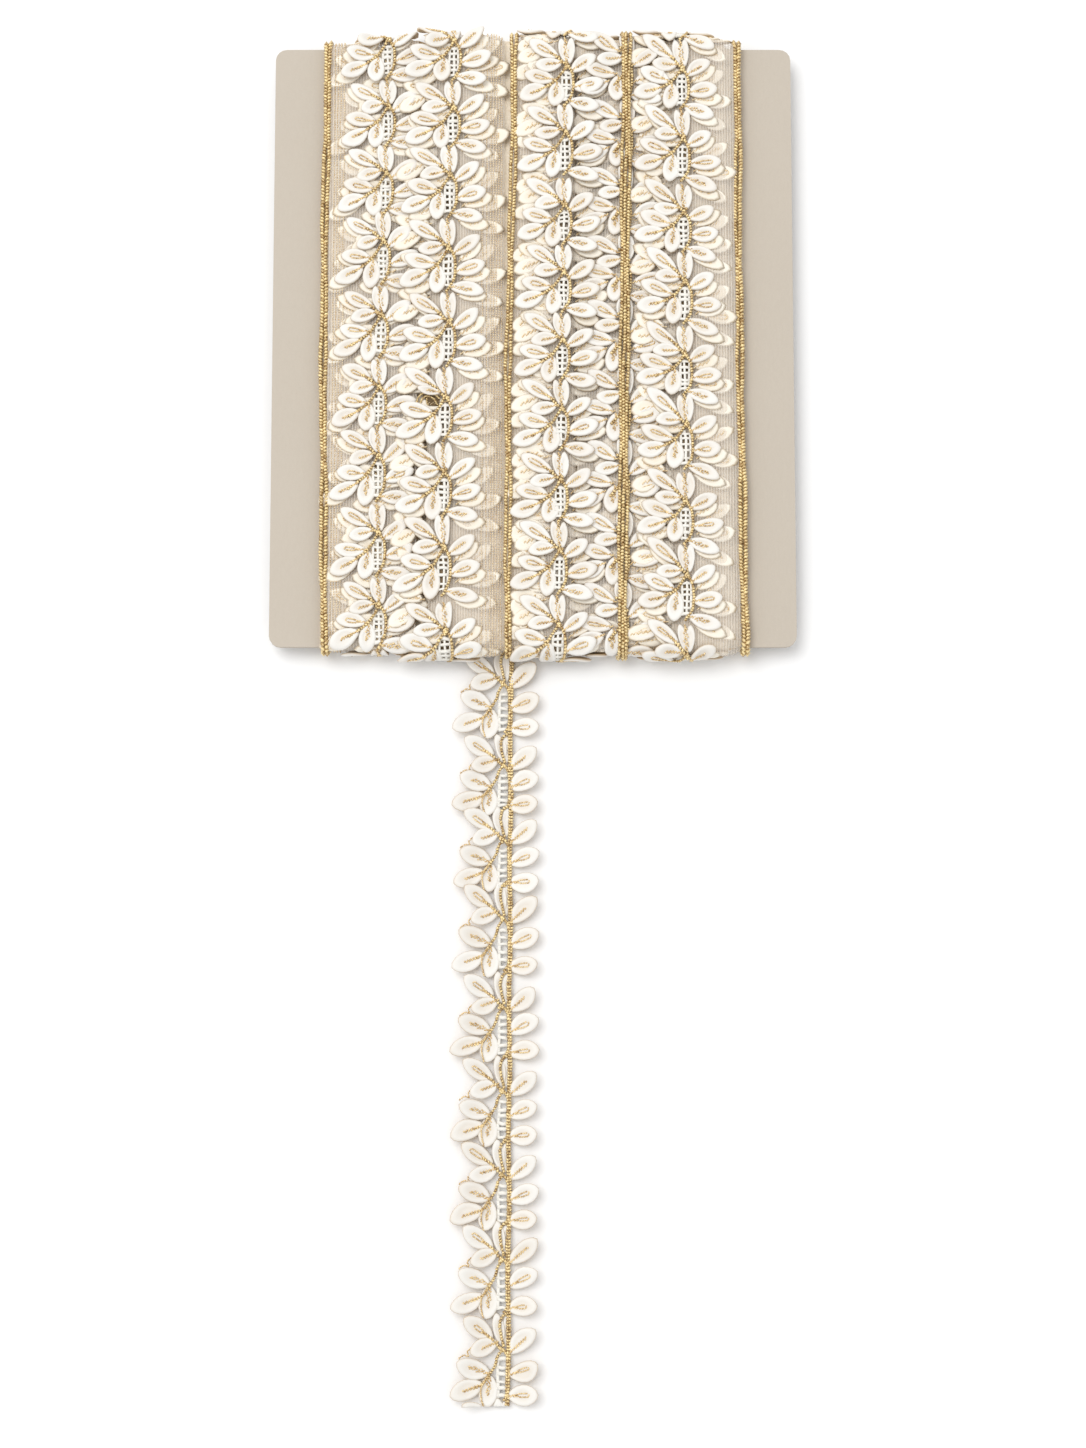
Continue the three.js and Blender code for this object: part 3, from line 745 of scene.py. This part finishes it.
def core_section(x, height):
    """Places all the way round the padded inner turns at one place across the block."""
    section = []
    for end in (TOP_END, BOTTOM_END):
        reach = end_reach(end, x, height) - CORE_END_INSET
        arc = []
        for turn in np.linspace(0, math.pi, CORE_ARC_STEPS + 1):
            upper = turn < math.pi / 2
            depth = height - CORE_FRONT_INSET - CARD_MIDDLE if upper else CARD_MIDDLE - CORE_BACK_HEIGHT
            arc.append((x, end["bend"] + end["side"] * reach * math.sin(turn),
                        CARD_MIDDLE + depth * math.cos(turn)))
        section += arc if end["side"] > 0 else arc[::-1]
    return np.array(section)


def slot_section(section):
    """The places of a section drawn in to the slot that the card lies in."""
    y = np.clip(section[:, 1], CARD_BOTTOM - CARD_CLEARANCE, CARD_TOP + CARD_CLEARANCE)
    z = CARD_MIDDLE + np.where(section[:, 2] > CARD_MIDDLE, CARD_SLOT_HALF, -CARD_SLOT_HALF)
    return np.column_stack([section[:, 0], y, z])


def build_core(looks):
    """The padded inner turns as one ring round the card, its laps as steps on the front."""
    sections = [core_section(x, lap["height"]) for lap in LAP_STEPS for x in (lap["from"], lap["to"])]
    slot = [slot_section(sections[0]), slot_section(sections[-1])]
    rows = [slot[0], *sections, slot[1], slot[0]]
    skin = Skin()
    skin.add(np.concatenate(rows), ring_faces(len(rows), len(rows[0]), closed_ends=False))
    core = skin.piece("wound_core", looks["core"], "net_ground", lambda points: points)
    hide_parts("wound_lace")
    return core


def net_points(x_low, x_high, run_low, run_high):
    """A grid over a lap, from one run to another, with a slight wave."""
    xs = np.linspace(x_low, x_high, max(3, int((x_high - x_low) / NET_STEP["across"])))
    runs = np.arange(run_low, run_high, NET_STEP["along"])
    x, run = np.meshgrid(xs, runs)
    wave = 0.12 * np.sin(run * 0.37 + x * 0.2) + 0.1 * np.sin(run * 0.11 - x * 0.5)
    points = np.column_stack([x.ravel(), run.ravel(), wave.ravel()])
    row, column = np.meshgrid(np.arange(len(runs) - 1), np.arange(len(xs) - 1), indexing="ij")
    a = (row * len(xs) + column).ravel()
    faces = np.stack([a, a + 1, a + 1 + len(xs), a + len(xs)], axis=1)
    return points, faces


def build_net(number, net, looks):
    """The sheer net that carries the leaves of one lap, all the way round the card."""
    low, high = loop_ends((net["from"] + net["to"]) / 2, net["height"])
    skin = Skin()
    skin.add(*net_points(net["from"], net["to"], low, high))

    def place(points):
        """Puts the net on its lap, its edges dipping to the cords beside it."""
        edge = np.minimum(points[:, 0] - net["from"], net["to"] - points[:, 0])
        dip = (net["height"] - LOW_HEIGHT) * np.exp(-(edge / 2.5) ** 2)
        return wound(points - np.outer(dip, (0, 0, 1)), net["height"])

    made = skin.piece(f"lap_{number}_net", looks["net"], "net_ground", place)
    return made, (net["to"] - net["from"], high - low)


def cord_line(cord, offset, height, lift):
    """A cord's path all the way round the card, at its places across the block."""
    across = cord["across"]
    low, high = loop_ends(across[len(across) // 2], height)
    runs = np.arange(low, high, CORD_STEP)
    places = np.linspace(TOP_END["bend"], BOTTOM_END["bend"], len(across))
    middle = np.interp(-runs, -places, across)
    sway = 0.3 * np.sin(runs * 0.09 + offset) + 0.15 * np.sin(runs * 0.23 + 2 * offset)
    return np.column_stack([middle + offset + sway, runs, np.full(len(runs), lift)])


def build_cord(number, cord, looks):
    """Rows of beads side by side; every second row slants the other way and starts half a bead on."""
    skin = Skin()
    bead = bead_template(CORD_BEAD, cord["thickness"])
    for i, offset in enumerate(cord["strands"]):
        second = i % 2
        line = cord_line(cord, offset, cord["bed"], cord["thickness"] + 0.12 * second)
        line = line + (0, CORD_PITCH / 2 * second, 0)
        add_rope(skin, line, bead, CORD_PITCH, CORD_SLANT if second else -CORD_SLANT)
    name = f"gold_cord_{number}_strands"
    made = skin.piece(name, looks["gold"], "gold_thread", lambda points: wound(points, cord["bed"]))
    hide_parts(f"gold_cord_{number}")


def build_side_turns(looks):
    """Gold edges of the inner turns, stacked at both sides of the block."""
    skin = Skin()
    for cord in (CORDS["1"], CORDS["4"]):
        out = math.copysign(SIDE_TURNS["out"], cord["across"][0])
        for depth in SIDE_TURNS["depths"]:
            line = cord_line(cord, out, OUTER_HEIGHT, -depth)
            add_rope(skin, line, PLAIN_STEM_BEAD, SIDE_TURNS["pitch"], SIDE_TURNS["slant"])
    skin.piece("side_turns", looks["gold"], "gold_thread", lambda points: wound(points, OUTER_HEIGHT))


def build_net_threads(looks):
    """Fine dotted gold threads along the bare strips of net."""
    skin = Skin()
    runs = np.arange(BOTTOM_END["bend"] - NET_THREAD_PAST, TOP_END["bend"] + NET_THREAD_PAST, 1.0)
    lift = np.full(len(runs), NET_THREAD_LIFT)
    for x, height in NET_THREADS:
        places = np.column_stack([x + 0.15 * np.sin(runs * 0.3 + x), runs, lift])
        skin.add(*bead_run(wound(places, height)))
    skin.piece("net_threads", looks["pale_gold"], "gold_thread", lambda points: points)


def bead_run(spots):
    """Small stitches along Y at places in space, as corners, faces and shades."""
    corners, faces, _ = NET_STITCH
    turned = np.column_stack([corners[:, 1], corners[:, 0], corners[:, 2]])
    steps = np.arange(len(spots))[:, None, None] * len(corners)
    shade = np.repeat(rng.uniform(0, 1, len(spots)), len(corners))
    placed = (spots[:, None] + turned[None]).reshape(-1, 3)
    return placed, (faces[None, :, ::-1] + steps).reshape(-1, 4), shade


def cut_off(piece, y):
    """Cuts a piece straight across at y, with the cut closed."""
    mesh = bmesh.new()
    mesh.from_mesh(piece.data)
    everything = [*mesh.verts, *mesh.edges, *mesh.faces]
    bmesh.ops.bisect_plane(
        mesh, geom=everything, plane_co=(0, y * 0.001, 0), plane_no=(0, -1, 0), clear_outer=True)
    open_edges = [edge for edge in mesh.edges if edge.is_boundary]
    bmesh.ops.holes_fill(mesh, edges=open_edges, sides=0)
    mesh.to_mesh(piece.data)
    mesh.free()


def add_loose_group(skins, fork, stretch):
    """Leaves, petals, veins, stems and ladder of one group on the loose end, up to its cut."""
    spot = np.array([LOOSE_X, fork]), stretch
    uncut = fork > LOOSE_CUT
    for usual in LOOSE_LEAVES:
        leaf = jitter(usual, LOOSE_STRAY)
        if max(leaf["base"][1], leaf["tip"][1]) * stretch + fork < LOOSE_CUT:
            continue
        add_leaf(skins["leaves"], leaf, spot, LOOSE_THICKNESS, FINE_LEAF)
        if uncut:
            add_vein(skins["veins"], leaf, spot, LOOSE_THICKNESS, FINE_STITCH, FINE_SPACING)
    for petal in LOOSE_PETALS:
        add_leaf(skins["leaves"], jitter(petal, PETAL_STRAY), spot, LOOSE_THICKNESS, FINE_LEAF)
    if uncut:
        paths = (LOOSE_STEM, LOOSE_BRANCH, LOOSE_SIDE_STEM, LOOSE_LOOP)
        add_stems(skins["stems"], paths, spot, LOOSE_STEM_LIFT, True)
        for path in (LOOSE_EDGE_THREAD, LOOSE_CURL):
            add_rope(skins["veins"], lifted(path, spot, LOOSE_THREAD_LIFT), **EDGE_THREAD)
        add_ladder(skins["ladder"], None, LOOSE_LADDER, spot, LOOSE_LADDER_LIFT)


def add_loose_cord(skin):
    """The stem cord along the whole loose end, as two strands of beads."""
    ys = np.linspace(LOOSE_START - 1, LOOSE_CUT + 0.8, LOOSE_CORD["places"])
    xs = np.linspace(*LOOSE_CORD["x"], len(ys)) + 0.25 * np.sin(ys * 0.12)
    line = np.column_stack([xs, ys, np.full(len(ys), LOOSE_CORD["lift"])])
    for side in (-1, 1):
        slant, offset = LOOSE_CORD["slant"] * side, LOOSE_CORD["half_gap"] * side
        add_rope(skin, line, STEM_BEAD, LOOSE_CORD["pitch"], slant, offset)


def build_loose_end(looks):
    """The loose end, lying on the table, with its leaves cut straight across at the end."""
    skins = {kind: Skin() for kind in ("leaves", "veins", "stems", "ladder")}
    for fork, below in zip(LOOSE_FORKS, [*LOOSE_FORKS[1:], LOOSE_FORKS[-1] - LOOSE_PITCH]):
        add_loose_group(skins, fork, (fork - below) / LOOSE_PITCH)
    add_loose_cord(skins["stems"])
    pieces = dressed("loose_end", skins, looks, flat)
    leaves = pieces.pop("leaves")
    cut_off(leaves, LOOSE_CUT)
    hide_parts("loose_end", "loose_end_cord")
    return leaves, list(pieces.values())


class Amount:
    """A shader number that takes part in ordinary arithmetic."""

    def __init__(self, look, socket):
        self.look, self.socket = look, socket

    def _math(self, operation, first, second):
        node = self.look.node("ShaderNodeMath", {"operation": operation}, {0: first, 1: second})
        return Amount(self.look, node.outputs[0])

    def __add__(self, other):
        return self._math("ADD", self, other)

    __radd__ = __add__

    def __sub__(self, other):
        return self._math("SUBTRACT", self, other)

    def __rsub__(self, other):
        return self._math("SUBTRACT", other, self)

    def __mul__(self, other):
        return self._math("MULTIPLY", self, other)

    __rmul__ = __mul__

    def __pow__(self, other):
        return self._math("POWER", self, other)

    def __rpow__(self, other):
        return self._math("POWER", other, self)


class Look:
    """One procedural material, built node by node."""

    def __init__(self, name):
        self.material = bpy.data.materials.new(name)
        self.material.use_nodes = True
        self.tree = self.material.node_tree
        self.shader = self.tree.nodes["Principled BSDF"]
        self.spots = self.node("ShaderNodeTexCoord", {}, {}).outputs["Object"]

    def node(self, kind, settings, sockets):
        """A node of the given kind, with its settings and its sockets' values or links."""
        made = self.tree.nodes.new(kind)
        for key, value in settings.items():
            setattr(made, key, value)
        for key, value in sockets.items():
            self.feed(made.inputs[key], value)
        return made

    def feed(self, socket, value):
        """Links a value to a socket, or sets it on the socket where it is plain."""
        if isinstance(value, Amount):
            value = value.socket
        if isinstance(value, bpy.types.NodeSocket):
            self.tree.links.new(value, socket)
        elif hasattr(value, "__len__") and len(value) == 3 and socket.type == "RGBA":
            socket.default_value = (*value, 1)
        else:
            socket.default_value = value

    def noise(self, scale, detail, spots=None):
        sockets = {"Vector": spots or self.spots, "Scale": scale, "Detail": detail}
        return Amount(self, self.node("ShaderNodeTexNoise", {}, sockets).outputs["Fac"])

    def stretched(self, scale):
        made = self.node("ShaderNodeVectorMath", {"operation": "MULTIPLY"}, {0: self.spots, 1: scale})
        return made.outputs[0]

    def waves(self, direction, scale, distortion=0.0):
        sockets = {"Vector": self.spots, "Scale": scale, "Distortion": distortion}
        made = self.node("ShaderNodeTexWave", {"bands_direction": direction}, sockets)
        return Amount(self, made.outputs["Fac"])

    def shade(self):
        """The shade value that each corner of the mesh carries: painted shade on leaves and in gaps, and
        painted highlight on gold beads, with random tone.
        """
        made = self.node("ShaderNodeAttribute", {"attribute_name": "shade"}, {})
        return Amount(self, made.outputs["Fac"])

    def blend(self, amount, first, second):
        settings = {"data_type": "RGBA", "clamp_factor": True}
        return self.node("ShaderNodeMix", settings, {0: amount, 6: first, 7: second}).outputs[2]

    def bump(self, height, distance, strength):
        sockets = {"Height": height, "Distance": distance, "Strength": strength}
        return self.node("ShaderNodeBump", {}, sockets).outputs["Normal"]

    def finish(self, **sockets):
        for key, value in sockets.items():
            self.feed(self.shader.inputs[key.replace("_", " ")], value)
        return self.material


def leaf_look(name, light, dark, edge):
    """Padded ivory leaf: soft fine weave, mottled, with painted warm shade towards its edge and underside.
    """
    look = Look(name)
    mottled = look.noise(160, 4)
    base = look.blend(mottled * 0.6, light, dark)
    # Painted shade: the shade value blends the cloth towards the edge colour on the leaf's underside and
    # edge
    colour = look.blend(look.shade() ** 1.5, base, edge)
    weave = look.noise(2600, 2) * 0.5 + look.noise(700, 3) * 0.5
    return look.finish(
        Base_Color=colour, Roughness=0.8, Normal=look.bump(weave, 0.0002, 0.4),
        Sheen_Weight=0.15, Sheen_Roughness=0.5, Specular_IOR_Level=0.3)


def gold_look(name, painted_highlight_colour, painted_shade_colour, metallic):
    """Metallic thread: painted glints and painted highlights on its beads, and painted dark brown shade at
    their ends.
    """
    look = Look(name)
    # Painted glints in the colour, which also vary the roughness
    painted_glint_and_roughness = (look.noise(1500, 2) - 0.5) * 2.6 + 0.4
    colour = look.blend(look.shade() * 1.1 + painted_glint_and_roughness * 0.8 - 0.12, painted_shade_colour, painted_highlight_colour)
    fine = look.noise(4200, 1)
    return look.finish(
        Base_Color=colour, Metallic=metallic, Roughness=0.2 + painted_glint_and_roughness * 0.15,
        Normal=look.bump(fine, 0.00015, 0.5))


def net_look():
    """Sheer net: fine threads along and across, with faint lengthwise lines."""
    look = Look("sheer_net")
    along = look.waves("X", 620)
    across = look.waves("Y", 620)
    threads = (along ** 2 + across ** 2) * 0.55
    lines = look.waves("X", 285, 1.0) ** 3
    patches = look.noise(90, 3)
    colour = look.blend(lines * 0.6 + patches * 0.3, (0.8, 0.72, 0.63), (0.94, 0.88, 0.79))
    alpha = 0.2 + threads * 0.32 + lines * 0.25
    return look.finish(
        Base_Color=colour, Roughness=0.7, Alpha=alpha, Normal=look.bump(threads, 0.0001, 0.4))


def core_look():
    """Inner turns seen between the leaves: layered beige cloth with a dotted mesh."""
    look = Look("inner_turns")
    dots = look.node("ShaderNodeTexVoronoi", {}, {"Vector": look.spots, "Scale": 1100}).outputs["Distance"]
    dots = Amount(look, dots)
    patches = look.noise(120, 4)
    base = look.blend(patches, (0.84, 0.74, 0.58), (0.95, 0.87, 0.74))
    colour = look.blend(dots * 0.45, base, (0.62, 0.49, 0.33))
    return look.finish(
        Base_Color=colour, Roughness=0.85, Normal=look.bump(dots + patches, 0.0004, 0.5))


def ladder_look():
    """White cotton rungs."""
    look = Look("white_cotton")
    fibre = look.noise(1800, 3)
    colour = look.blend(fibre, (0.82, 0.79, 0.72), (0.91, 0.89, 0.84))
    return look.finish(Base_Color=colour, Roughness=0.8, Normal=look.bump(fibre, 0.0003, 0.5))


def shade_look():
    """Painted shade in the gaps under the ladders and below the folded leaf."""
    look = Look("deep_gap")
    # Painted shade, darker or lighter by the shade value of each strip or gap, with a little noise
    depth = look.noise(500, 2) * 0.3 + look.shade() * 0.7
    colour = look.blend(depth, (0.1, 0.065, 0.03), (0.34, 0.25, 0.15))
    return look.finish(Base_Color=colour, Roughness=0.95, Specular_IOR_Level=0.1)


def card_look():
    """Matt taupe card with a faint paper grain."""
    look = Look("matt_card")
    grain = look.noise(1500, 4)
    fibres = look.noise(1, 3, look.stretched((900, 260, 900)))
    clouds = look.noise(22, 2)
    tone = grain * 0.5 + fibres * 0.3 + clouds * 0.2
    colour = look.blend(tone, (0.48, 0.425, 0.355), (0.56, 0.503, 0.428))
    return look.finish(
        Base_Color=colour, Roughness=0.88, Normal=look.bump(grain + fibres, 0.00012, 0.35),
        Specular_IOR_Level=0.25)


def floor_look():
    """Plain pale floor, very slightly uneven in tone."""
    look = Look("pale_floor")
    tone = look.noise(3, 2)
    colour = look.blend(tone, (0.9, 0.9, 0.9), (0.92, 0.92, 0.92))
    return look.finish(Base_Color=colour, Roughness=0.9, Specular_IOR_Level=0.1)


def build_floor():
    """The plain pale floor that everything lies on."""
    bpy.ops.mesh.primitive_plane_add(size=FLOOR_SIZE, location=(0, 0, 0))
    floor = bpy.context.active_object
    floor.name = "floor"
    floor.data.materials.append(floor_look())


def build_light():
    """An even white sky, and a large soft light aimed at the middle of the floor."""
    scene = bpy.context.scene
    scene.view_settings.view_transform = "Standard"
    world = scene.world or bpy.data.worlds.new("studio")
    scene.world = world
    world.use_nodes = True
    background = world.node_tree.nodes["Background"]
    background.inputs["Color"].default_value = (1, 1, 1, 1)
    background.inputs["Strength"].default_value = SKY_STRENGTH
    light = bpy.data.lights.new("key", "AREA")
    light.shape, light.size, light.size_y = "RECTANGLE", KEY_SIZE, KEY_SIZE
    light.energy = KEY_POWER
    key = bpy.data.objects.new("key", light)
    key.location = KEY_PLACE
    x, y, z = KEY_PLACE
    key.rotation_euler = (math.atan2(math.hypot(x, y), z), 0, math.atan2(-y, -x) - math.pi / 2)
    scene.collection.objects.link(key)


def build_camera():
    """The camera, above the trim and tilted towards the loose end."""
    camera = bpy.data.cameras.new("camera")
    camera.lens, camera.sensor_width = CAMERA_LENS, SENSOR_WIDTH
    camera.clip_start, camera.clip_end = 0.05, 20
    made = bpy.data.objects.new("camera", camera)
    made.location = (
        CAMERA_AIM[0] * 0.001,
        (CAMERA_AIM[1] - CAMERA_DISTANCE * math.sin(CAMERA_TILT)) * 0.001,
        CAMERA_DISTANCE * math.cos(CAMERA_TILT) * 0.001)
    made.rotation_euler = (CAMERA_TILT, 0, 0)
    bpy.context.scene.collection.objects.link(made)
    bpy.context.scene.camera = made


def all_looks():
    """Every material of the trim by its short name; the card's own is apart."""
    return {
        # Leaf looks: light and dark tones of the cloth, then the colour of the painted edge shade
        "leaf": leaf_look("ivory_leaf", (0.838, 0.822, 0.786), (0.795, 0.77, 0.718), (0.55, 0.38, 0.19)),
        # Older leaves: the same cloth as on top, painted lighter and warmer, as painted warm light bounced
        # between the shaded layers
        "older_leaf": leaf_look("older_leaf", (0.91, 0.868, 0.775), (0.86, 0.805, 0.69), (0.64, 0.47, 0.26)),
        # Gold looks: colour of the painted highlight, colour of the painted shade, and metallic
        "gold": gold_look("gold_thread", (1.0, 0.81, 0.43), (0.24, 0.1, 0.012), 0.2),
        "vein_gold": gold_look("vein_gold", (1.0, 0.79, 0.44), (0.42, 0.22, 0.06), 0.2),
        "pale_gold": gold_look("veiled_gold", (0.96, 0.8, 0.54), (0.68, 0.46, 0.22), 0.1),
        "net": net_look(),
        "core": core_look(),
        "ladder": ladder_look(),
        "shade": shade_look(),
    }


def cloth_area(groups, leaves):
    """Area of so many groups of leaves, in square metres."""
    return groups * sum(LEAF_FILL * leaf["width"] * LEAF_LENGTH for leaf in leaves) * 1e-6


def build_trim():
    """The card's look, the wound block and the loose end."""
    looks = all_looks()
    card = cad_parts["winding_card"]
    card.data.materials.clear()
    card.data.materials.append(card_look())
    core = build_core(looks)
    for number, vine in VINES.items():
        leaves, fittings = build_vine(number, vine, looks)
        build_older_laps(number, vine, looks)
        net, size = build_net(number, NETS[number], looks)
        size[0] * 0.001
        size[1] * 0.001
        count = len(lap_forks(vine))
        area = cloth_area(count, WOUND_LEAVES)
    for number, cord in CORDS.items():
        build_cord(number, cord, looks)
    build_side_turns(looks)
    build_net_threads(looks)
    loose, fittings = build_loose_end(looks)
    area = cloth_area(LOOSE_GROUPS, LOOSE_LEAVES)


build_floor()
build_light()
build_camera()
build_trim()
